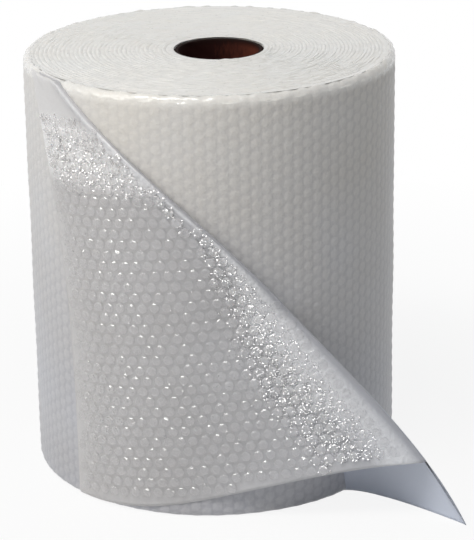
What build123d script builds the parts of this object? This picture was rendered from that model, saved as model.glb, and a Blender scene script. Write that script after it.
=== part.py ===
"""Roll of bubble film standing on its end, with the loose end of the sheet folded over.

Millimetres. The core's axis is Z, the floor is z = 0 and the folded end faces -Y.
"""
import os
from math import acos, atan2, cos, degrees, radians, sin, sqrt

from build123d import *

# the sheet and its cardboard core
sheet_width = 400.0
sheet_thickness = 4.0
roll_diameter = 347.0
core_diameter = 84.0
core_wall = 4.0
core_recess = 2.0
core_clearance = 0.15

# the outer turns have slackened and sit off the core's axis
slack = 9.0
rim_bevel = 3.5

# turns that show on the two ends of the roll, where every other one has slipped inwards
top_turn_count = 13
foot_turn_count = 3
turn_slip = 1.8
turn_facets = 32

# the fold of the loose end runs from the top rim down to the floor in front;
# angles are in degrees from the front, positive to the right
fold_top_angle = -50.0
fold_foot_angle = 49.5
fold_curve = 1.9
fold_sink = 1.0
fold_top_height = 2.0 * sheet_thickness
fold_foot_height = 5.5 * sheet_thickness
tail_reach = 0.285 * sheet_width
tail_start = 0.5
tail_growth = 1.1

# the folded corner lies on the roll from its left edge to the fold
flap_left_foot_angle = -48.0
flap_left_top_angle = -68.0
flap_left_curve = 3
flap_top_gap = 1.0
flap_sink = 0.5

# lower edge of the folded corner, which is the cut end of the sheet
lip_left = 0.005 * sheet_width
lip_right = 0.1475 * sheet_width
lip_left_x = -0.34 * sheet_width
lip_right_x = 0.465 * sheet_width

# under the fold the sheet comes back to the roll
root_angle = 12.0
root_foot_angle = 4.0
root_sink = 4.0
knee_length = 3.0 * sheet_thickness
knee_growth = 0.15
tail_overlap = 0.022 * sheet_width
tail_thinning = 0.3

# bubbles stand on the folded corner in slanting close-packed rows, at twice the film's pitch,
# and make up the outer part of the sheet's thickness
bubble_diameter = 10.0
bubble_pitch = 11.5
bubble_height = 0.5 * sheet_thickness
bubble_sink = 0.25 * sheet_thickness
bubble_draft = 35.0
bubble_sides = 6
bubble_spacing = 2 * bubble_pitch
bubble_row_tilt = 7.0
bubble_margin = bubble_diameter
bubble_top = 0.85 * sheet_width

sections = 13
bend_creases = 11
tail_sections = 5

roll_radius = roll_diameter / 2
core_radius = core_diameter / 2
roll_centre = Vector(-slack, 0)
inner_face = -sheet_thickness / 2
outer_face = inner_face + sheet_thickness - bubble_height


def outward(angle):
    """Unit vector away from the roll's centre at an angle from the front."""
    return Vector(sin(radians(angle)), -cos(radians(angle)))


def along(angle):
    """Unit vector round the roll, to the right at the front."""
    return Vector(cos(radians(angle)), sin(radians(angle)))


def angle_of(vector):
    """Angle from the front of a vector in plan."""
    return degrees(atan2(vector.X, -vector.Y))


class FoldSection:
    """Plan of the folded sheet at one height: front wall, bend and return to the roll."""

    def __init__(self, height):
        share = height / sheet_width
        rise = fold_foot_height + (fold_top_height - fold_foot_height) * share
        flare = max(0.0, 1 - share / tail_start) ** tail_growth
        reach = tail_reach * flare
        self.height = height
        self.radius = (rise + fold_sink) / 2
        edge_angle = fold_foot_angle + (fold_top_angle - fold_foot_angle) * share**fold_curve
        bend_reach = self.radius + sheet_thickness / 2
        bend_distance = roll_radius + rise + reach - bend_reach
        bend_angle = edge_angle - degrees(bend_reach / bend_distance)
        self.centre = roll_centre + outward(bend_angle) * bend_distance
        self.rest = roll_radius + sheet_thickness / 2 - flap_sink
        lean = flap_left_top_angle - flap_left_foot_angle
        self.left = flap_left_foot_angle + lean * share**flap_left_curve
        self.leave = bend_angle - degrees(acos((self.rest - self.radius) / bend_distance))
        root = bend_angle - root_angle + (root_angle - root_foot_angle) * flare
        self.root = roll_centre + outward(root) * (roll_radius - root_sink)
        self.root_normal = outward(root)
        self.knee = self.root + along(root) * (knee_length + knee_growth * reach)
        to_knee = self.knee - self.centre
        self.back = angle_of(to_knee) - degrees(acos(self.radius / to_knee.length))
        while self.back < self.leave + 90:
            self.back += 360

    def at(self, vector):
        return Vector(vector.X, vector.Y, self.height)

    def on_bend(self, angle, offset):
        return self.at(self.centre + outward(angle) * (self.radius + offset))

    def on_roll(self, angle, offset):
        return self.at(roll_centre + outward(angle) * (self.rest + offset))

    def front(self, offset):
        """Front wall: round the roll, then straight to the bend."""
        middle = (self.left + self.leave) / 2
        start = self.on_roll(self.left, offset)
        end = self.on_roll(self.leave, offset)
        return [
            ThreePointArc(start, self.on_roll(middle, offset), end),
            Line(end, self.on_bend(self.leave, offset)),
        ]

    def front_place(self, distance):
        """Place and outward angle on the front wall, at a distance round it from the front."""
        lift = distance - self.rest * radians(self.leave)
        if lift < 0:
            angle = degrees(distance / self.rest)
            return self.on_roll(angle, outer_face), angle
        return self.on_roll(self.leave, outer_face) + along(self.leave) * lift, self.leave

    def front_span(self):
        """Distances from the front to the left edge and to the bend."""
        straight = (self.on_bend(self.leave, 0) - self.on_roll(self.leave, 0)).length
        return self.rest * radians(self.left), self.rest * radians(self.leave) + straight

    def bend(self, start, offset):
        """Bend in flat creases from an angle round to the start of the return."""
        step = (self.back - start) / bend_creases
        corners = [self.on_bend(start + step * number, offset) for number in range(bend_creases + 1)]
        return [Line(first, last) for first, last in zip(corners, corners[1:])]

    def back_wall(self, offset):
        """Return from the bend to its root inside the roll."""
        first = self.on_bend(self.back, offset)
        knee = self.at(self.knee - (self.root_normal - outward(self.back)) * (offset / 2))
        last = self.at(self.root - self.root_normal * offset)
        return [Bezier(first, knee, last)]

    def outline(self, sides):
        """Closed outline of the sheet between its two faces."""
        outer, inner = sides
        caps = [
            Line(outer[0] @ 0, inner[0] @ 0),
            Line(outer[-1] @ 1, inner[-1] @ 1),
        ]
        return Wire(outer + inner + caps)

    def whole(self):
        sides = [
            self.front(offset) + self.bend(self.leave, offset) + self.back_wall(offset)
            for offset in (outer_face, inner_face)
        ]
        return self.outline(sides)

    def tail(self):
        turn = self.leave + 90
        faces = (outer_face - tail_thinning, inner_face + tail_thinning)
        sides = [self.bend(turn, offset) + self.back_wall(offset) for offset in faces]
        return self.outline(sides)


def end_turn(share, height):
    """Disc at an end of the roll, out to the turn that is this share of the way to the rim."""
    radius = core_radius + (roll_radius - core_radius) * share
    disc = extrude(RegularPolygon(radius, turn_facets), turn_slip, both=True)
    return Pos(-slack * share, 0, height) * disc


def lip_height(across):
    """Height of the lower edge of the folded corner at a place across the front."""
    share = min(1.0, max(0.0, (across - lip_left_x) / (lip_right_x - lip_left_x)))
    return lip_left + (lip_right - lip_left) * share * share * (3 - 2 * share)


# wound sheet with rounded rims, bored for the core
winding = Pos(roll_centre.X, 0, sheet_width / 2) * Cylinder(roll_radius, sheet_width)
winding = chamfer(winding.edges().filter_by(GeomType.CIRCLE), rim_bevel)
bore = Cylinder(core_radius + core_clearance, 2 * sheet_width)
slipped_turns = [
    end_turn((number + 1) / count, height) - end_turn(number / count, height)
    for height, count in ((0, foot_turn_count), (sheet_width, top_turn_count))
    for number in range(1, count - 1, 2)
]
winding = winding - [bore] - slipped_turns

# folded corner, cut off along its lower edge
top = sheet_width - flap_top_gap
heights = [top * number / (sections - 1) for number in range(sections)]
fold = Solid.make_loft([FoldSection(height).whole() for height in heights], ruled=True)
lip_edge = Spline((lip_left_x, lip_left), (lip_right_x, lip_right), tangents=[(1, 0), (1, 0)])
far = 2 * roll_diameter
lip_rest = Polyline(
    (lip_right_x, lip_right),
    (far, lip_right),
    (far, -sheet_width),
    (-far, -sheet_width),
    (-far, lip_left),
    (lip_left_x, lip_left),
)
below_lip = extrude(Plane.XZ * make_face([lip_edge, lip_rest]), far, both=True)
fold = fold - below_lip

# bubbles in slanting rows on the folded corner, clear of its edges
cap = Pos(0, 0, -bubble_sink) * extrude(
    RegularPolygon(bubble_diameter / 2, bubble_sides),
    bubble_height + bubble_sink,
    taper=bubble_draft,
)
row_gap = bubble_spacing * sqrt(3) / 2
row_count = int(sheet_width / row_gap)
bubbles = []
for row in range(-row_count, 2 * row_count):
    for column in range(-row_count, 2 * row_count):
        flat = Vector((column + row % 2 / 2) * bubble_spacing, row * row_gap)
        flat = flat.rotate(Axis.Z, bubble_row_tilt)
        if not bubble_margin < flat.Y < bubble_top:
            continue
        section = FoldSection(flat.Y)
        left, right = section.front_span()
        if not left + bubble_margin < flat.X < right - bubble_margin:
            continue
        place, angle = section.front_place(flat.X)
        if place.Z > lip_height(place.X) + bubble_margin:
            bubbles.append(Plane(place, x_dir=along(angle), z_dir=outward(angle)).location * cap)
fold = fold.fuse(*bubbles)

# bottom corner of the sheet, which stands out on the floor
tail_top = lip_right + tail_overlap
heights = [tail_top * number / (tail_sections - 1) for number in range(tail_sections)]
tail = Solid.make_loft([FoldSection(height).tail() for height in heights], ruled=True)
bubble_film = winding + fold + tail

# cardboard tube
core_length = sheet_width - core_recess
core_tube = Cylinder(core_radius, core_length) - Cylinder(core_radius - core_wall, core_length)
core_tube = Pos(0, 0, core_length / 2) * core_tube

os.makedirs("parts", exist_ok=True)
export_step(bubble_film, "parts/bubble_film.step")
export_step(core_tube, "parts/core_tube.step")
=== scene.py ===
from math import acos, atan2, cos, degrees, hypot, pi, radians, sin, sqrt
from random import Random

import bmesh
import bpy
from mathutils import Matrix, Vector, noise


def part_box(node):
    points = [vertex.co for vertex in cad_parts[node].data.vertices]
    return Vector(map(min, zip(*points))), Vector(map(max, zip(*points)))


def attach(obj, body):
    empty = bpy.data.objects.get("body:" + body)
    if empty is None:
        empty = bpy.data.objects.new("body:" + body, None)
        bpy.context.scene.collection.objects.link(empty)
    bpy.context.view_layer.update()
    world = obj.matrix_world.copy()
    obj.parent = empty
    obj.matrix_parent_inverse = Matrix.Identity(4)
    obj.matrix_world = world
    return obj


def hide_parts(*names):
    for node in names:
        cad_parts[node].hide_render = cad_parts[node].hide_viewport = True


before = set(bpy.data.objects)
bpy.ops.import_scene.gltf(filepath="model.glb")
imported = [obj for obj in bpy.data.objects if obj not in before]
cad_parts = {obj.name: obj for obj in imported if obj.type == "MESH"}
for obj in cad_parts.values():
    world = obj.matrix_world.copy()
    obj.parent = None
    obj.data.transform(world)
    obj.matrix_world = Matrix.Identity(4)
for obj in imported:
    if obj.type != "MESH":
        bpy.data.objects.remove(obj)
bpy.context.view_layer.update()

# Core: a spirally wound tube of brown board that the film is rolled on. Strips of paper
# are glued edge to edge round a mandrel, so a shallow seam climbs the bore in a helix.
# The tube is sawn to length. Its top end is painted dark as shade, as it lies just below the film's
# edge.
core_low, core_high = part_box("core_tube")
core_radius = (core_high.x - core_low.x) / 2
core_wall = 0.004
core_length = core_high.z
core_edge = 0.0006
edge_round = 0.3 * core_edge
core_steps = 160
bore_rows = 160
strip_width = 0.075
strip_climb = 2 * strip_width
seam_depth = 0.0005
seam_width = 0.004
end_shade_depth = 0.006
end_shade_edge = 0.0004
painted_shade_span = -0.02, 0.03
fibre_scale = 420
fibre_stretch = (1, 1, 0.25)
blotch_scale = 26
board_brown = (0.15, 0.041, 0.024, 1)
board_dark = (0.024, 0.007, 0.006, 1)
board_end_shade = (0.012, 0.005, 0.004, 1)


class Flow:
    """Output of a material's node. Sums on it add Math nodes, and node() adds any other kind."""

    def __init__(self, tree, socket=None):
        self.tree = tree
        self.socket = socket

    def node(self, kind, settings=None, inputs=None, output=0):
        made = self.tree.nodes.new("ShaderNode" + kind)
        for name, value in (settings or {}).items():
            setattr(made, name, value)
        for name, value in (inputs or {}).items():
            if isinstance(value, Flow):
                self.tree.links.new(value.socket, made.inputs[name])
            else:
                made.inputs[name].default_value = value
        return Flow(self.tree, made.outputs[output])

    def sum(self, operation, first, second):
        return self.node("Math", {"operation": operation}, {0: first, 1: second})

    def __add__(self, other):
        return self.sum("ADD", self, other)

    def __radd__(self, other):
        return self.sum("ADD", other, self)

    def __sub__(self, other):
        return self.sum("SUBTRACT", self, other)

    def __rsub__(self, other):
        return self.sum("SUBTRACT", other, self)

    def __mul__(self, other):
        return self.sum("MULTIPLY", self, other)

    def __rmul__(self, other):
        return self.sum("MULTIPLY", other, self)

    def axis(self, name):
        """One coordinate of a vector, X, Y or Z."""
        return self.node("SeparateXYZ", {}, {0: self}, name)

    def length(self):
        """Length of a vector."""
        return self.node("VectorMath", {"operation": "LENGTH"}, {0: self}, "Value")

    def painted(self, name):
        """Value that the mesh holds at its corners under this name."""
        return self.node("Attribute", {"attribute_name": name}, {}, "Fac")

    def span(self, low, high, start=0.0, end=1.0):
        """Value moved from low..high to start..end, and held at the ends."""
        limits = {"From Min": low, "From Max": high, "To Min": start, "To Max": end}
        return self.node("MapRange", {"clamp": True}, {"Value": self, **limits})

    def tint(self, first, second):
        """Colour between two others, first at 0 and second at 1."""
        return self.node("Mix", {"data_type": "RGBA"}, {0: self, 6: first, 7: second}, 2)

    def stained(self, stain):
        """Colour multiplied by another."""
        settings = {"data_type": "RGBA", "blend_type": "MULTIPLY"}
        return self.node("Mix", settings, {0: 1.0, 6: self, 7: stain}, 2)

    def grain(self, scale, detail=2.0, rough=0.5):
        """Noise on a vector, about 0.5."""
        values = {"Vector": self, "Scale": scale, "Detail": detail, "Roughness": rough}
        return self.node("TexNoise", {}, values)

    def bump(self, distance, strength=1.0):
        """Normal of a surface raised by this height, in metres at a value of 1."""
        values = {"Height": self, "Distance": distance, "Strength": strength}
        return self.node("Bump", {}, values)


def new_finish(name):
    """New material, with its surface shader and object coordinates."""
    finish = bpy.data.materials.new(name)
    finish.use_nodes = True
    tree = finish.node_tree
    surface = tree.nodes["Principled BSDF"]
    place = Flow(tree).node("TexCoord", output="Object")
    return finish, surface, place


def set_finish(surface, **values):
    """Constants and links on a surface shader, with its socket names in small letters."""
    for name, value in values.items():
        socket = surface.inputs[name.replace("_", " ").title().replace("Ior", "IOR")]
        if isinstance(value, Flow):
            value.tree.links.new(value.socket, socket)
        else:
            socket.default_value = value


def finished_mesh(name, bm):
    """Mesh of a finished bmesh."""
    mesh = bpy.data.meshes.new(name)
    bm.to_mesh(mesh)
    bm.free()
    return mesh


def new_object(name, data):
    """Object in the scene for a mesh, lamp or camera."""
    made = bpy.data.objects.new(name, data)
    bpy.context.scene.collection.objects.link(made)
    return made


def new_piece(name, bm, finish, smooth=True):
    """Object of a finished bmesh, which rides on the roll's one body."""
    mesh = finished_mesh(name, bm)
    if smooth:
        mesh.shade_smooth()
    else:
        mesh.shade_flat()
    mesh.materials.append(finish)
    piece = new_object(name, mesh)
    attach(piece, "root")
    return piece


def spun(profile, steps):
    """Bmesh of a profile of (radius, height) points spun once round the Z axis."""
    bm = bmesh.new()
    corners = [bm.verts.new((radius, 0, height)) for radius, height in profile]
    edges = [bm.edges.new(pair) for pair in zip(corners, corners[1:])]
    turn = {"angle": 2 * pi, "steps": steps, "axis": (0, 0, 1), "cent": (0, 0, 0)}
    bmesh.ops.spin(bm, geom=corners + edges, use_merge=True, **turn)
    bmesh.ops.remove_doubles(bm, verts=bm.verts, dist=1e-6)
    bmesh.ops.recalc_face_normals(bm, faces=bm.faces)
    return bm


bore_radius = core_radius - core_wall
bore_length = core_length - 2 * core_edge
core_profile = [
    (bore_radius, core_edge + bore_length * row / bore_rows)
    for row in range(bore_rows + 1)
]
core_profile += [
    (bore_radius + edge_round, core_length - edge_round),
    (bore_radius + core_edge, core_length),
    (core_radius - core_edge, core_length),
    (core_radius, core_length - core_edge),
    (core_radius, core_edge),
    (core_radius - core_edge, 0),
    (bore_radius + core_edge, 0),
    (bore_radius, core_edge),
]
core_mesh = spun(core_profile, core_steps)
for corner in core_mesh.verts:
    reach = hypot(corner.co.x, corner.co.y)
    if reach < bore_radius + edge_round / 2:
        climb = atan2(corner.co.y, corner.co.x) / (2 * pi) * strip_climb
        offset = (corner.co.z - climb) % strip_width - strip_width / 2
        sink = seam_depth * max(0.0, 1 - abs(offset) / seam_width)
        corner.co.xy *= (reach + sink) / reach

board, surface, place = new_finish("brown_board")
fibre = place.node("Mapping", {}, {"Vector": place, "Scale": fibre_stretch}).grain(fibre_scale, 3)
blotch = place.grain(blotch_scale, 3)
# Painted shade: the top end of the tube is coloured near black, as it lies in shade below the film's
# edge.
top_end_shade = place.axis("Z").span(core_length - end_shade_depth, core_length - end_shade_edge)
# Painted light and shade: the bore is coloured darker on its left and lighter on its right, where the
# lamps on the left light its far wall.
painted_lit_side = place.axis("X").span(*painted_shade_span, -0.55, 0.2)
tone_and_painted_shade = (fibre * 0.6 + blotch * 0.7 - 0.15 + painted_lit_side).span(0.2, 0.9)
set_finish(
    surface,
    base_color=top_end_shade.tint(tone_and_painted_shade.tint(board_dark, board_brown), board_end_shade),
    roughness=fibre.span(0.3, 0.7, 0.72, 0.9),
    normal=fibre.bump(0.0004, 0.5),
    specular_ior_level=0.08,
)
core = new_piece("board_core", core_mesh, board)
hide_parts("core_tube")

# Roll: about 33 turns of clear film, bubbles inwards, so the outside is the film's flat
# side. Each bubble shows through it as a slight swelling, set in close-packed upright rows.
# The turns have slackened, so the outer ones sit off the core's axis.
sheet_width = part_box("bubble_film")[1].z
film_thickness = 0.004
slack = 0.009
roll_radius = 0.1735
roll_centre = Vector((-slack, 0, 0))
rim_radius = 0.006
rim_middle = roll_radius - rim_radius
rim_steps = 7
rim_sway, rim_sink, rim_scale, rim_seed = 0.0016, 0.0006, 110, 3.0
core_clearance = 0.00015
end_gap = 0.003
shelf_width = 0.004
shelf_slope = 0.001
row_count = 110
steps_across_row = 4
steps_up_bubble = 4
bubble_radius = 0.005
bubble_pitch = 0.0115
swell_radius = 1.05 * bubble_radius
swell_height = 0.0006
ripple_height, ripple_sink, ripple_scale = 0.0007, 0.0004, 14
film_pale = (0.76, 0.74, 0.71, 1)
film_gap = (0.49, 0.48, 0.485, 1)
film_rim = (0.88, 0.87, 0.845, 1)
film_warm = (1.0, 0.98, 0.945, 1)
film_cool = (0.885, 0.915, 0.995, 1)
milk_radius = (1.0, 0.95, 0.9)
milk_depth = 0.004


def lattice_swell(across, up):
    """Height of the nearest bubble's swelling, 0 to 1, at a place given in rows and in metres."""
    best = 0.0
    for row in (int(across // 1), int(across // 1) + 1):
        level = up / bubble_pitch - 0.5 * (row % 2)
        rise = (level - round(level)) * bubble_pitch
        side = (across - row) * 2 * pi * roll_radius / row_count
        best = max(best, 1 - (rise * rise + side * side) / swell_radius**2)
    return best


def wander(point, scale, seed=0.0):
    """Smooth random value about 0 at a place, with waves of about 1 / scale."""
    return noise.noise(point * scale + Vector((seed, 0, 0)))


step_up = bubble_pitch / steps_up_bubble
side_rows = int((sheet_width - 2 * rim_radius) / step_up)
side_start = (sheet_width - side_rows * step_up) / 2
side = [(roll_radius, side_start + step_up * row) for row in range(side_rows + 1)]
turns = [pi / 2 * step / rim_steps for step in range(rim_steps + 1)]
top_rim = [
    (rim_middle + rim_radius * cos(turn), sheet_width - rim_radius + rim_radius * sin(turn))
    for turn in turns
]
foot_rim = [(radius, sheet_width - height) for radius, height in reversed(top_rim)]
inside = core_radius + core_clearance
shelf = rim_middle - shelf_width
shell_profile = [
    (inside, end_gap),
    (shelf - shelf_slope, end_gap),
    (shelf, end_gap / 2),
    *foot_rim,
    *side,
    *top_rim,
    (shelf, sheet_width - end_gap / 2),
    (shelf - shelf_slope, sheet_width - end_gap),
    (inside, sheet_width - end_gap),
    (inside, end_gap),
]
shell_mesh = spun(shell_profile, row_count * steps_across_row)
swell_layer = shell_mesh.verts.layers.float.new("swell")
for corner in shell_mesh.verts:
    reach = hypot(corner.co.x, corner.co.y)
    angle = atan2(corner.co.x, -corner.co.y)
    share = (reach - core_radius) / (roll_radius - core_radius)
    if reach > rim_middle - shelf_width / 2:
        swell = lattice_swell((angle / (2 * pi)) % 1 * row_count, corner.co.z)
        corner[swell_layer] = swell
        ripple = ripple_height * wander(corner.co, ripple_scale) - ripple_sink
        out = (swell - 1) * swell_height + ripple
        corner.co.xy *= (reach + out) / reach
        if corner.co.z > sheet_width - rim_radius:
            corner.co.z += rim_sway * wander(corner.co, rim_scale, rim_seed) - rim_sink
    corner.co.x -= slack * share

film, surface, place = new_finish("wound_film")
swell = place.painted("swell")
patch = place.grain(9, 2)
crinkle = place.grain(330, 4, 0.6)
level = place.axis("Z")
# Painted light: the side is coloured lighter and warmer towards the top, where the lamps above light
# it, and cooler below.
painted_top_light = level.span(0.1, sheet_width)
# Painted shade: the side is coloured darker near the floor, under the folded corner.
painted_foot_shade = level.span(0.06, 0.0)
# Painted light: the upper left of the side is coloured paler, towards the rim's colour, where the key
# lamp lights it.
painted_left_light = place.axis("X").span(0.08, -0.09) * level.span(0.2, sheet_width)
rim = level.span(sheet_width - 2 * rim_radius, sheet_width - rim_radius)
tone = swell.span(0.0, 0.4) * 0.3 + crinkle * 0.6 + patch * 0.5 + painted_top_light * 0.25
tone = (tone - 0.27 - painted_foot_shade * 0.25).span(0.05, 1.0)
milky = (rim * 0.8 + painted_left_light * 0.55).span(0, 1).tint(tone.tint(film_gap, film_pale), film_rim)
# Random warm and cool patches, with painted light: warmer towards the top and cooler below.
tint_and_painted_light = (patch + 0.4 - painted_top_light * 0.8).span(0, 1).tint(film_warm, film_cool)
set_finish(
    surface,
    base_color=milky.stained(tint_and_painted_light),
    roughness=crinkle.span(0.3, 0.7, 0.3, 0.55) - rim * 0.2,
    normal=crinkle.bump(0.0008, 0.7),
    coat_weight=rim * 0.7 + 0.08,
    coat_roughness=0.12,
    subsurface_weight=0.3,
    subsurface_scale=milk_depth,
    subsurface_radius=milk_radius,
)
shell = new_piece("roll_side", shell_mesh, film)
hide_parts("bubble_film")

# Ends of the roll: the slit edge of the sheet, wound in one long spiral from the core to
# the rim. No turn lies quite level with the next, and each bubble at the edge pushes it in.
turn_count = 33
turn_start = core_radius + 0.0002
turn_pitch = (rim_middle - turn_start) / turn_count
turn_depth = 0.001
edge_step = 0.0026
edge_dip = 0.0006
edge_push = 0.3
edge_drift = 5
edge_lines = (0.0, 0.12, 0.35, 0.7, 0.9, 1.0)
edge_rise = (0.0, 0.75, 1.0, 1.0, 0.7, 0.0)
pushed_lines = 1, 2
turn_sway, turn_scale, turn_seed = 0.0007, 45, 3.7
edge_sway, edge_scale, edge_seed = 0.0006, 140, 9.0
hole_shade_width = 0.03
slit_grey = (0.77, 0.75, 0.72, 1)
slit_pale = (0.91, 0.893, 0.86, 1)
slit_lit_back = (0.99, 0.965, 0.925, 1)
slit_warm = (1.0, 0.985, 0.955, 1)
slit_cool = (0.95, 0.975, 1.0, 1)


def wound_edge(height, inwards, step):
    """Bmesh of the sheet's edge as a spiral strip on the end of the roll at this height."""
    columns = int(2 * pi * (turn_start + roll_radius) / 2 * turn_count / step)
    lines = len(edge_lines) - 1
    bm = bmesh.new()
    bmesh.ops.create_grid(bm, x_segments=columns, y_segments=lines, size=0.5)
    groove_shade_layer = bm.verts.layers.float.new("rise")
    for corner in bm.verts:
        wound = (corner.co.x + 0.5) * (turn_count - 1)
        line = round((corner.co.y + 0.5) * lines)
        angle = 2 * pi * wound
        inner = wound if wound >= 1 else 0
        outer = wound + 1 if wound < turn_count - 2 else turn_count
        radius = turn_start + turn_pitch * (inner + (outer - inner) * edge_lines[line])
        walk = pi * wound * (2 * turn_start + turn_pitch * wound)
        bubble = max(0.0, sin(pi * walk / bubble_pitch + edge_drift * sin(wound)))
        if line in pushed_lines:
            radius += turn_pitch * edge_push * (1 - bubble)
        share = (radius - core_radius) / (roll_radius - core_radius)
        spot = Vector((sin(angle), -cos(angle), 0)) * radius
        uneven = turn_sway * wander(spot, turn_scale, wound // 1 * turn_seed)
        uneven += edge_sway * wander(spot, edge_scale, edge_seed)
        uneven *= min(1.0, (rim_middle - radius) / (2 * turn_pitch))
        rise = 1.0 if radius > rim_middle - turn_pitch / 2 else edge_rise[line]
        level = turn_depth * (1 - rise) + rise * max(0.0, edge_dip + uneven)
        # Painted shade: this value colours the slit edge darker in the grooves between turns and
        # lighter on their crests.
        corner[groove_shade_layer] = rise * (0.6 + 0.4 * bubble)
        corner.co = spot + Vector((-slack * share, 0, height + inwards * level))
    bmesh.ops.recalc_face_normals(bm, faces=bm.faces)
    if sum(face.normal.z * face.calc_area() for face in bm.faces) * inwards > 0:
        bmesh.ops.reverse_faces(bm, faces=bm.faces)
    return bm


slit, surface, place = new_finish("slit_edges")
# Painted shade: low in the grooves between turns, where it darkens the colour.
rise = place.painted("rise")
patch = place.grain(14, 3)
fleck = place.grain(260, 3, 0.6)
level_place = place.node("VectorMath", {"operation": "MULTIPLY"}, {0: place, 1: (1, 1, 0)})
# Painted shade: the end is coloured darker in a ring round the core's hole, where the hole shades it.
hole_shade_fade = level_place.length().span(core_radius, core_radius + hole_shade_width)
# Painted light: the back of the end is coloured paler and warmer, where more of the lamps' light
# falls.
painted_back_light = place.axis("Y").span(-0.02, 0.16)
tone = (rise * 0.5 + fleck * 0.5 + patch * 0.4 + hole_shade_fade * 0.25 - 0.35).span(0.1, 0.9)
milky = painted_back_light.tint(tone.tint(slit_grey, slit_pale), slit_lit_back)
set_finish(
    surface,
    base_color=milky.stained(patch.tint(slit_warm, slit_cool)),
    roughness=fleck.span(0.3, 0.7, 0.25, 0.5),
    normal=fleck.bump(0.0006, 0.5),
    coat_weight=0.4,
    coat_roughness=0.1,
    subsurface_weight=0.4,
    subsurface_scale=milk_depth,
    subsurface_radius=milk_radius,
)
for name, height, inwards, step in (
    ("roll_top_turns", sheet_width, -1, edge_step),
    ("roll_foot_turns", 0.0, 1, 2 * edge_step),
):
    end = new_piece(name, wound_edge(height, inwards, step), slit)
    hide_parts("bubble_film")

# Loose end: the last stretch of the same film. Its top corner is folded forward over the
# roll in a soft slanting bend, so the bubbles face out on it, and it is crumpled beside the
# bend. The bottom corner stays flat side out and flares away from the roll on the floor.
fold_top_angle = -50.0
fold_foot_angle = 49.5
fold_curve = 1.9
fold_sink = 0.001
fold_top_height = 2.0 * film_thickness
fold_foot_height = 5.5 * film_thickness
bend_near, bend_far = 0.72, 0.85
tail_reach = 0.285 * sheet_width
tail_start = 0.5
tail_growth = 1.1
tail_edge = 0.55
tail_light_heights = 0.14, 0.07
flap_left_foot_angle = -48.0
flap_left_top_angle = -68.0
flap_left_curve = 3
flap_sink = 0.0005
flap_top = sheet_width - 0.001
lip_left = Vector((-0.34 * sheet_width, 0.005 * sheet_width))
lip_right = Vector((0.465 * sheet_width, 0.1475 * sheet_width))
root_angle = 12.0
root_foot_angle = 4.0
root_sink = 0.004
knee_length = 3.0 * film_thickness
knee_growth = 0.15
sheet_line = -0.0012
sheet_skin = 0.0007
edge_tuck = 0.0004
edge_fade = 0.035
strip_top, strip_foot = 0.006, 0.028
band_top, band_foot = 0.016, 0.080
band_heights = 0.12, 0.27
crest_shade_shares = 0.3, 0.8
wedge_middle = 0.335
wedge_half = 0.033
caps_top = 0.372
sheet_rows = 120
part_columns = (72, 44, 14, 18)
loose_grey = (0.515, 0.505, 0.51, 1)
loose_pale = (0.715, 0.70, 0.695, 1)
loose_warm = (1.0, 0.99, 0.98, 1)
loose_cool = (0.93, 0.955, 1.0, 1)
crease_white_and_sheen = (0.96, 0.945, 0.94, 1)
crest_shade_grey = (0.46, 0.46, 0.495, 1)
tail_lit_blue = (0.69, 0.72, 0.80, 1)


def outward(angle):
    """Unit vector away from the roll's centre at an angle from the front."""
    return Vector((sin(radians(angle)), -cos(radians(angle)), 0))


def along(angle):
    """Unit vector round the roll, to the right at the front."""
    return Vector((cos(radians(angle)), sin(radians(angle)), 0))


def bezier(points, share):
    """Point of the curve that three or four points pull."""
    while len(points) > 1:
        points = [first.lerp(last, share) for first, last in zip(points, points[1:])]
    return points[0]


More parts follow.
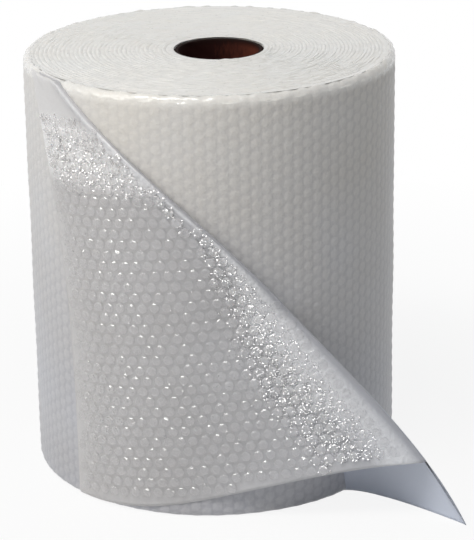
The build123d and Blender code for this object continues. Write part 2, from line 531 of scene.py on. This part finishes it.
class FoldSection:
    """Plan of the folded sheet at one height: front on the roll, soft bend and return to the roll."""

    def __init__(self, height):
        share = height / sheet_width
        rise = fold_foot_height + (fold_top_height - fold_foot_height) * share
        flare = max(0.0, 1 - share / tail_start) ** tail_growth
        reach = tail_reach * flare
        self.up = Vector((0, 0, height))
        self.radius = (rise + fold_sink) / 2
        edge_angle = fold_foot_angle + (fold_top_angle - fold_foot_angle) * share**fold_curve
        bend_reach = self.radius + film_thickness / 2
        bend_distance = roll_radius + rise + reach - bend_reach
        bend_angle = edge_angle - degrees(bend_reach / bend_distance)
        self.centre = roll_centre + outward(bend_angle) * bend_distance
        self.rest = roll_radius + film_thickness / 2 - flap_sink
        lean = flap_left_top_angle - flap_left_foot_angle
        self.left = flap_left_foot_angle + lean * share**flap_left_curve
        self.leave = bend_angle - degrees(acos((self.rest - self.radius) / bend_distance))
        root = bend_angle - root_angle + (root_angle - root_foot_angle) * flare
        self.root = roll_centre + outward(root) * (roll_radius - root_sink)
        self.root_normal = outward(root)
        self.knee = self.root + along(root) * (knee_length + knee_growth * reach)
        to_knee = self.knee - self.centre
        bearing = degrees(atan2(to_knee.x, -to_knee.y))
        self.back = bearing - degrees(acos(self.radius / to_knee.length))
        while self.back < self.leave + 90:
            self.back += 360

    def on_roll(self, angle, offset):
        return roll_centre + outward(angle) * (self.rest + offset)

    def on_bend(self, angle, offset):
        return self.centre + outward(angle) * (self.radius + offset)

    def point(self, part, share, offset):
        """Place on the sheet: part 0 on the roll, 1 front of the bend, 2 its back, 3 the return."""
        if part == 0:
            return self.up + self.on_roll(self.left + (self.leave - self.left) * share, offset)
        if part == 1:
            first = self.on_roll(self.leave, offset)
            last = self.on_bend(self.leave + 90, offset)
            run = (last - first).dot(along(self.leave))
            near = first + along(self.leave) * run * bend_near
            far = last + outward(self.leave) * (self.radius + offset) * bend_far
            return self.up + bezier([first, near, far, last], share)
        if part == 2:
            turn = self.back - self.leave - 90
            return self.up + self.on_bend(self.leave + 90 + turn * share, offset)
        first = self.on_bend(self.back, offset)
        knee = self.knee - (self.root_normal - outward(self.back)) * (offset / 2)
        return self.up + bezier([first, knee, self.root - self.root_normal * offset], share)

    def from_left(self, share):
        """How far a place on part 0 lies from the sheet's left edge."""
        return self.rest * radians(self.leave - self.left) * share

    def to_crest(self, distance, steps=12):
        """How far a place lies from the crest of the bend, given its way round from the front."""
        corners = [self.point(1, step / steps, 0) for step in range(steps + 1)]
        front = sum((last - first).length for first, last in zip(corners, corners[1:]))
        return self.rest * radians(self.leave) + front - distance


def lip_height(across):
    """Height of the folded corner's lower edge at a place across the front."""
    share = min(1.0, max(0.0, (across - lip_left.x) / (lip_right.x - lip_left.x)))
    return lip_left.y + (lip_right.y - lip_left.y) * share * share * (3 - 2 * share)


def foot_of(part, share, rounds=6):
    """Height at which the sheet ends at the bottom, along one column of its net."""
    if part == 3 or part == 2 and share > tail_edge:
        return 0.0
    height = lip_right.y
    for _ in range(rounds):
        height = lip_height(FoldSection(height).point(part, share, 0).x)
    return height


def bell(value, middle, half):
    """1 in the middle, falling to 0 at half to either side."""
    return max(0.0, 1 - ((value - middle) / half) ** 2)


def ramp(value, low, high):
    """0 at low, rising evenly to 1 at high."""
    return min(1.0, max(0.0, (value - low) / (high - low)))


def smooth_strip(height):
    """Width of the smooth strip beside the crest of the bend."""
    return strip_foot + (strip_top - strip_foot) * ramp(height, *band_heights)


def creasing(to_crest, height):
    """How crumpled the sheet is, 0 to 1: in a band along the bend and in a wedge at its top."""
    strip = smooth_strip(height)
    band = band_foot + (band_top - band_foot) * ramp(height, *band_heights)
    return max(bell(to_crest, strip + band / 2, band / 2), bell(height, wedge_middle, wedge_half))


def tucked(section, part, share, height):
    """How far the sheet sinks at its left edge, and round the rim at the foot."""
    under = max(0.0, rim_radius - height)
    round_rim = rim_radius - sqrt(rim_radius**2 - under**2)
    if part == 3:
        return -round_rim * ramp(share, 0.5, 1.0)
    if part > 0:
        return 0.0
    return edge_tuck * max(0.0, 1 - section.from_left(share) / edge_fade) + round_rim


columns = [
    (part, step / count)
    for part, count in enumerate(part_columns)
    for step in range(count)
]
columns.append((3, 1.0))
feet = [foot_of(*column) for column in columns]
sheet_mesh = bmesh.new()
bmesh.ops.create_grid(sheet_mesh, x_segments=len(columns) - 1, y_segments=sheet_rows, size=0.5)
layers = sheet_mesh.verts.layers.float
names = ("fade", "crease", "back", "painted_flap_top_light", "crest")
for name in names:
    layers.new(name)
fade_layer, crease_layer, tail_light_layer, flap_top_light_layer, crest_shade_layer = [layers[name] for name in names]
for corner in sheet_mesh.verts:
    column = round((corner.co.x + 0.5) * (len(columns) - 1))
    part, share = columns[column]
    height = feet[column] + (flap_top - feet[column]) * (corner.co.y + 0.5)
    section = FoldSection(height)
    corner.co = section.point(part, share, sheet_line - tucked(section, part, share, height))
    # Painted light: the top of the loose end is coloured whiter, where the lamps above light it.
    corner[flap_top_light_layer] = ramp(height, wedge_middle, caps_top)
    if part == 0:
        from_left = section.from_left(share)
        across = from_left + section.rest * radians(section.left)
        corner[fade_layer] = max(0.0, 1 - from_left / edge_fade)
        corner[crease_layer] = creasing(section.to_crest(across), height)
    elif part == 1:
        front = section.to_crest(section.rest * radians(section.leave))
        corner[crease_layer] = creasing(front * (1 - share), height)
        # Painted shade: the bend is coloured greyer from its crest round its back, which faces away
        # from the lamps.
        corner[crest_shade_layer] = ramp(share, *crest_shade_shares)
    else:
        # Painted light: the tail on the floor is coloured paler and bluer, as a cool light from the
        # right falls on it.
        corner[tail_light_layer] = ramp(height, *tail_light_heights)
        corner[crest_shade_layer] = 1.0
bmesh.ops.recalc_face_normals(sheet_mesh, faces=sheet_mesh.faces)
if sum(face.normal.y for face in sheet_mesh.faces if face.calc_center_median().x < 0) > 0:
    bmesh.ops.reverse_faces(sheet_mesh, faces=sheet_mesh.faces)


def loose_light_cast(place, patch):
    """Tint of the loose film, in random patches and painted light: warm on the left where the lamps
    fall, and cool on the right.
    """
    across = place.axis("X").span(-0.12, 0.16)
    return (patch * 0.4 + across * 0.8).span(0, 1).tint(loose_warm, loose_cool)


clear, surface, place = new_finish("loose_film")
patch = place.grain(11, 2)
crinkle = place.grain(280, 4, 0.6)
crease = place.painted("crease")
wrinkle = place.grain(240, 2) * (crease * 0.85 + 0.15)
tone = (crinkle * 0.6 + patch * 0.5 + place.painted("fade") * 0.2 - 0.05).span(0.0, 0.9)
# Whiter where crumpled, and painted lighter at the top as lamplight.
crumpled_and_lit = (crease + place.painted("painted_flap_top_light") * 0.6).span(0, 1)
# Crumpled film is coloured whiter: partly the real whitening of creased film, partly a painted sheen
# standing in for its many glints.
milky = crumpled_and_lit.tint(tone.tint(loose_grey, loose_pale), crease_white_and_sheen)
# Painted shade: greyer on the crest and back of the bend.
milky = (place.painted("crest") * 0.6).tint(milky, crest_shade_grey)
# Painted light: cool and pale on the tail.
milky = place.painted("back").tint(milky, tail_lit_blue)
set_finish(
    surface,
    base_color=milky.stained(loose_light_cast(place, patch)),
    roughness=crinkle.span(0.3, 0.7, 0.42, 0.6) - crease * 0.2,
    normal=wrinkle.bump(0.0022),
    specular_ior_level=0.5,
    coat_weight=crease,
    coat_roughness=0.3,
    coat_ior=2.6,
    subsurface_weight=0.3,
    subsurface_scale=milk_depth,
    subsurface_radius=milk_radius,
)
loose_end = new_piece("loose_end", sheet_mesh, clear)
skin = loose_end.modifiers.new("skin", "SOLIDIFY")
skin.thickness = sheet_skin
skin.offset = 0
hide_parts("bubble_film")

# Bubbles: flat-topped caps of air on the loose end, drawn from the film in a close-packed
# net. Handling has dented them. Beside the bend they are lower, partly crushed, and small
# puckers of the film stand among them and catch the light.
cap_height = 0.0032
cap_segments = 10
cap_rings = 8
cap_spread = 0.72
cap_flatness = 0.6
cap_fall = 2.8
cap_crush = 0.35
cap_least = 0.1
cap_at_edge = 0.25
caps_fade = 0.025
row_tilt = radians(7)
row_gap = bubble_pitch * sqrt(3) / 2
net_rows = range(-30, 50)
net_columns = range(-30, 55)
edge_margin = 0.0052
crest_margin = 0.008
nearby = 0.001
pucker_sides = 6
pucker_count = 13
pucker_chance = 0.08
pucker_size = 0.0009, 0.0018
pucker_reach = bubble_pitch * 0.55
cap_dent, cap_stray = (0.0001, 0.0004), 0.9
pucker_dent, pucker_stray = (0.0002, 0.0004), 0.03
dent_way_foot = Vector((-0.19, -0.69, 0.70))
dent_way_top = Vector((-0.09, -0.76, 0.645))
above_base = 1e-5
cap_grey = (0.57, 0.557, 0.56, 1)
cap_pale = (0.81, 0.795, 0.79, 1)
cap_white_and_sheen = (0.98, 0.965, 0.96, 1)
dice = Random(11)


def whole(bm):
    """Every corner, edge and face of a bmesh."""
    return bm.verts[:] + bm.edges[:] + bm.faces[:]


cap_shape = bmesh.new()
bmesh.ops.create_uvsphere(cap_shape, u_segments=cap_segments, v_segments=cap_rings, radius=1)
base = {"plane_co": (0, 0, 0), "plane_no": (0, 0, 1)}
bmesh.ops.bisect_plane(cap_shape, geom=whole(cap_shape), clear_inner=True, **base)
for corner in cap_shape.verts:
    reach = hypot(corner.co.x, corner.co.y)
    if reach > 1e-6:
        corner.co.xy *= bubble_radius * reach**cap_spread / reach
    corner.co.z = cap_height * max(0.0, corner.co.z) ** cap_flatness
cap_mesh = finished_mesh("cap_shape", cap_shape)
pucker_shape = bmesh.new()
cone = {"radius1": 1, "radius2": 0.5, "depth": 1, "cap_ends": True}
bmesh.ops.create_cone(pucker_shape, segments=pucker_sides, **cone)
bmesh.ops.translate(pucker_shape, vec=(0, 0, 0.5), verts=pucker_shape.verts)
pucker_mesh = finished_mesh("pucker_shape", pucker_shape)
dent_mesh = bpy.data.meshes.new("dented_cap")
caps_mesh = bmesh.new()
cap_crease_layer = caps_mesh.verts.layers.float.new("crease")


def walk_to(section, distance, steps=24):
    """Part and share of a section at a distance along it from the front of the roll."""
    start = section.rest * radians(section.left)
    leave = section.rest * radians(section.leave)
    if distance <= leave:
        return 0, (distance - start) / (leave - start)
    left = distance - leave
    for part in (1, 2, 3):
        previous = section.point(part, 0, 0)
        for step in range(1, steps + 1):
            current = section.point(part, step / steps, 0)
            gap = (current - previous).length
            if left <= gap:
                return part, (step - 1 + left / gap) / steps
            left -= gap
            previous = current
    return None


def on_sheet(distance, height):
    """Place on the sheet's bubble side at a distance from the front and a height."""
    section = FoldSection(height)
    found = walk_to(section, distance)
    return None if found is None else section.point(*found, sheet_line + sheet_skin / 2)


def cap_place(across, height):
    """Where a bubble stands, how much of it stands and how creased it is, or None for no bubble."""
    if not edge_margin < height < caps_top:
        return None
    section = FoldSection(height)
    from_left = across - section.rest * radians(section.left)
    found = walk_to(section, across)
    if from_left < edge_margin or found is None or found[0] > 1:
        return None
    spot = on_sheet(across, height)
    beside = on_sheet(across + nearby, height)
    above = on_sheet(across, height + nearby)
    if None in (spot, beside, above) or height < lip_height(spot.x) + edge_margin:
        return None
    strip = smooth_strip(height)
    to_crest = section.to_crest(across)
    rise = ramp(abs(to_crest), 0.4 * strip, 1.2 * strip)
    rise *= ramp(height, caps_top, caps_top - caps_fade)
    rise *= cap_at_edge + (1 - cap_at_edge) * ramp(from_left, edge_margin, edge_fade)
    if rise < cap_least or to_crest < crest_margin:
        return None
    crease = creasing(to_crest, height)
    x_axis = (beside - spot).normalized()
    normal = x_axis.cross(above - spot).normalized()
    placed = Matrix((x_axis, normal.cross(x_axis), normal)).transposed().to_4x4()
    placed.translation = spot
    return placed, rise * (1 - cap_crush * crease), crease


def add_dented(shape, placed, strays, depth, crease):
    """Adds a cap or a pucker to the bubbles, cut flat by a dent for each stray from the usual way."""
    dented = bmesh.new()
    dented.from_mesh(shape)
    turned = Matrix.Rotation(dice.uniform(0, 2 * pi), 4, "Z")
    bmesh.ops.transform(dented, matrix=placed @ turned, verts=dented.verts)
    normal = placed.col[2].xyz.normalized()
    usual = dent_way_foot.lerp(dent_way_top, placed.translation.z / sheet_width)
    for stray in strays:
        way = (usual + Vector([dice.gauss(0, stray) for _ in range(3)])).normalized()
        crown = max(corner.co.dot(way) for corner in dented.verts)
        plane = {"plane_co": way * (crown - dice.uniform(*depth)), "plane_no": way}
        bmesh.ops.bisect_plane(dented, geom=whole(dented), clear_outer=True, **plane)
        open_edges = []
        for edge in dented.edges:
            levels = [(corner.co - placed.translation).dot(normal) for corner in edge.verts]
            if edge.is_boundary and max(levels) > above_base:
                open_edges.append(edge)
        bmesh.ops.holes_fill(dented, edges=open_edges)
    dented.to_mesh(dent_mesh)
    dented.free()
    start = len(caps_mesh.verts)
    caps_mesh.from_mesh(dent_mesh)
    caps_mesh.verts.ensure_lookup_table()
    for corner in caps_mesh.verts[start:]:
        corner[cap_crease_layer] = crease


def add_pucker(placed, rise, crease):
    """Adds a small pucker on a bubble or beside it."""
    reach = pucker_reach * sqrt(dice.random())
    around = dice.uniform(0, 2 * pi)
    size = dice.uniform(*pucker_size)
    wall = max(0.0, 1 - (reach / bubble_radius) ** cap_fall)
    level = rise * cap_height * wall ** (cap_flatness / 2)
    stand = max(0.0, level - size / 3)
    shift = Matrix.Translation((reach * cos(around), reach * sin(around), stand))
    spot = placed @ shift @ Matrix.Scale(size, 4)
    add_dented(pucker_mesh, spot, [pucker_stray], pucker_dent, crease)


for row in net_rows:
    for column in net_columns:
        flat = Vector(((column + 0.5 * (row % 2)) * bubble_pitch, row * row_gap))
        across = flat.x * cos(row_tilt) - flat.y * sin(row_tilt)
        height = flat.x * sin(row_tilt) + flat.y * cos(row_tilt)
        found = cap_place(across, height)
        if found is None:
            continue
        placed, rise, crease = found
        strays = [cap_stray] * (1 + round(2 * crease))
        add_dented(cap_mesh, placed @ Matrix.Diagonal((1, 1, rise, 1)), strays, cap_dent, crease)
        for _ in range(int(pucker_count * crease + pucker_chance + dice.random())):
            add_pucker(placed, rise, crease)
bmesh.ops.recalc_face_normals(caps_mesh, faces=caps_mesh.faces)

blown, surface, place = new_finish("blown_caps")
patch = place.grain(11, 2)
crinkle = place.grain(420, 3, 0.6)
crease = place.painted("crease")
wrinkle = place.grain(240, 2) * (crease * 0.9 + 0.1)
tone = (crinkle * 0.6 + patch * 0.5 - 0.05).span(0.1, 1.2)
# Crushed caps are coloured whiter: partly the real whitening of creased film, partly a painted sheen
# standing in for their glints.
milky = crease.tint(tone.tint(cap_grey, cap_pale), cap_white_and_sheen)
set_finish(
    surface,
    base_color=milky.stained(loose_light_cast(place, patch)),
    roughness=crinkle.span(0.3, 0.7, 0.08, 0.2),
    normal=wrinkle.bump(0.0022),
    coat_weight=1.0,
    coat_roughness=0.05,
    coat_ior=2.3,
    specular_ior_level=1.0,
    alpha=crease.span(0.0, 1.0, 0.24, 0.38),
    subsurface_weight=0.6,
    subsurface_scale=0.003,
    subsurface_radius=milk_radius,
)
caps = new_piece("loose_end_bubbles", caps_mesh, blown, smooth=False)
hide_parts("bubble_film")

# Studio: a plain pale floor, a long soft lamp above the front, a wide fill from the left and
# a white surround that the camera and the glossy film see. As light, the surround is weak
# and a little cool.
floor_size = 12
floor_grey = (0.90, 0.90, 0.90, 1)
floor_pale = (0.93, 0.93, 0.93, 1)
shadow_reach = 0.25, 0.9
surround_light = 0.21
surround_cool = (0.90, 0.95, 1.0, 1)
white = (1, 1, 1, 1)
lamp_target = (0, 0, 0.2)
camera_lens = 154.27
camera_eye = (-0.009, -2.0968, 0.9322)
camera_target = (0.0139, 0, 0.1792)
camera_roll = -0.82


def white_to_sight(nodes):
    """1 for rays that see the surround straight, in gloss or through film, and 0 for light."""
    kinds = ("Is Camera Ray", "Is Glossy Ray", "Is Transmission Ray")
    first, second, third = [nodes.node("LightPath", output=kind) for kind in kinds]
    return (first + second + third).span(0, 1)


def aim(obj, eye, target, roll=0.0):
    """Puts a lamp or camera at eye, looking at target."""
    way = Vector(target) - Vector(eye)
    turn = way.to_track_quat("-Z", "Y").to_matrix().to_4x4() @ Matrix.Rotation(radians(roll), 4, "Z")
    obj.matrix_world = Matrix.Translation(eye) @ turn


def lamp(name, eye, size, power, colour):
    """Soft rectangular lamp that shines on the roll."""
    data = bpy.data.lights.new(name, "AREA")
    data.shape = "RECTANGLE"
    data.size, data.size_y = size
    data.energy = power
    data.color = colour
    aim(new_object(name, data), eye, lamp_target)


floor_mesh = bmesh.new()
bmesh.ops.create_grid(floor_mesh, x_segments=1, y_segments=1, size=floor_size)
pale, surface, place = new_finish("pale_floor")
set_finish(
    surface,
    base_color=place.grain(3, 2).tint(floor_grey, floor_pale),
    roughness=0.9,
    specular_ior_level=0.1,
)
apart = place.length().span(*shadow_reach, 0.88, 1.0)
glow = place.node("Emission", {}, {"Color": white, "Strength": 1.0})
plain = Flow(pale.node_tree, surface.outputs[0])
shown = place.node("MixShader", {}, {0: white_to_sight(place) * apart, 1: plain, 2: glow})
pale.node_tree.links.new(shown.socket, pale.node_tree.nodes["Material Output"].inputs["Surface"])
floor = new_object("floor", finished_mesh("floor", floor_mesh))
floor.data.materials.append(pale)

lamp("key", (-0.78, -1.15, 2.4), (1.5, 0.5), 36, (1.0, 0.98, 0.95))
lamp("left_fill", (-2.2, -1.2, 1.3), (1.2, 1.2), 13, (1.0, 0.985, 0.96))

world = bpy.data.worlds.new("surround")
world.use_nodes = True
bpy.context.scene.world = world
sight = white_to_sight(Flow(world.node_tree))
backdrop = world.node_tree.nodes["Background"]
world.node_tree.links.new(sight.tint(surround_cool, white).socket, backdrop.inputs["Color"])
world.node_tree.links.new(sight.span(0, 1, surround_light, 1.0).socket, backdrop.inputs["Strength"])

camera_data = bpy.data.cameras.new("camera")
camera_data.lens = camera_lens
camera = new_object("camera", camera_data)
aim(camera, camera_eye, camera_target, camera_roll)
bpy.context.scene.camera = camera
bpy.context.scene.view_settings.view_transform = "Standard"
